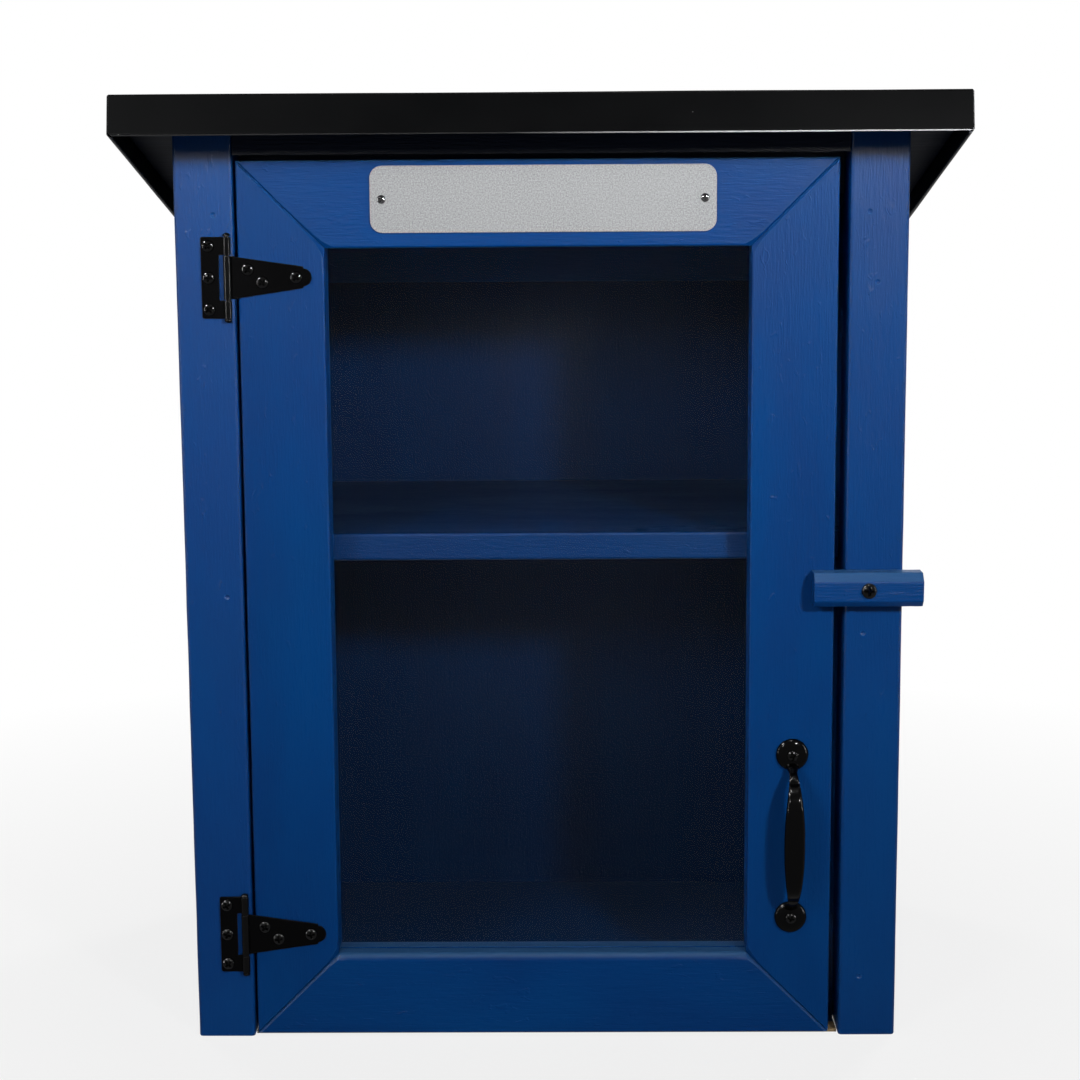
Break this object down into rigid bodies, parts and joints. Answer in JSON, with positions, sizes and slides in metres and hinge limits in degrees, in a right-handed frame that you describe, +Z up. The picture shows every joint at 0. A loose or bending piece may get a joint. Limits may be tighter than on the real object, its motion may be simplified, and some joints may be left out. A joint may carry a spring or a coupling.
{
  "type": "street book exchange box",
  "caption": "Wooden street book exchange box with shelf, sloping sheet-metal roof, glazed door on strap hinges, turn button and pull handle.",
  "frame": {"origin": "ground level under the middle of the roof's plan outline", "axes": "+X to the right seen from the front, +Y to the back, +Z up"},
  "size_m": [0.5034, 0.39, 0.5911],
  "materials": {
    "blue_paint": "brushed satin exterior paint on softwood",
    "raw_wood": "bare plywood",
    "dark_board": "dark stained board, matt",
    "roof_sheet": "black satin coated sheet",
    "black_steel": "black satin coated steel",
    "gloss_black": "black gloss enamel",
    "satin_plate": "satin anodised sheet",
    "clear_pane": "clear acrylic sheet"
  },
  "bodies": {
    "case": {"post_front_left": "blue_paint", "post_front_right": "blue_paint", "post_back_left": "blue_paint", "post_back_right": "blue_paint", "side_panel_left": "blue_paint", "side_panel_right": "blue_paint", "back_panel": "blue_paint", "floor_panel": "raw_wood", "shelf": "blue_paint", "shelf_cleat_left": "blue_paint", "shelf_cleat_right": "blue_paint", "head_rail": "blue_paint", "back_rail": "blue_paint", "roof_deck": "dark_board", "roof_cap": "roof_sheet", "roof_screw_1": "black_steel", "roof_screw_2": "black_steel", "roof_screw_3": "black_steel", "roof_screw_4": "black_steel", "roof_screw_5": "black_steel", "roof_screw_6": "black_steel", "hinge_leaf_upper": "black_steel", "hinge_leaf_lower": "black_steel", "hinge_pin_upper": "black_steel", "hinge_pin_lower": "black_steel", "leaf_screw_upper_1": "black_steel", "leaf_screw_upper_2": "black_steel", "leaf_screw_upper_3": "black_steel", "leaf_screw_lower_1": "black_steel", "leaf_screw_lower_2": "black_steel", "leaf_screw_lower_3": "black_steel", "turn_button_screw": "black_steel"},
    "door": {"door_stile_left": "blue_paint", "door_stile_right": "blue_paint", "door_rail_top": "blue_paint", "door_rail_bottom": "blue_paint", "pane": "clear_pane", "pane_bead_top": "blue_paint", "pane_bead_bottom": "blue_paint", "pane_bead_left": "blue_paint", "pane_bead_right": "blue_paint", "hinge_strap_upper": "black_steel", "hinge_strap_lower": "black_steel", "strap_screw_upper_1": "black_steel", "strap_screw_upper_2": "black_steel", "strap_screw_upper_3": "black_steel", "strap_screw_lower_1": "black_steel", "strap_screw_lower_2": "black_steel", "strap_screw_lower_3": "black_steel", "sign_plate": "satin_plate", "sign_screw_left": "black_steel", "sign_screw_right": "black_steel", "pull_handle": "gloss_black", "handle_screw_upper": "black_steel", "handle_screw_lower": "black_steel"},
    "turn_button": {"turn_button": "blue_paint"}
  },
  "joints": [
    {"name": "door_swing", "type": "hinge", "parent": "case", "child": "door", "pos_m": [-0.19035, -0.1377, 0.2786], "axis": [0, 0, -1], "range_deg": [0, 165]},
    {"name": "button_turn", "type": "hinge", "parent": "case", "child": "turn_button", "pos_m": [0.19925, -0.135, 0.2913], "axis": [0, 1, 0], "continuous": true}
  ]
}
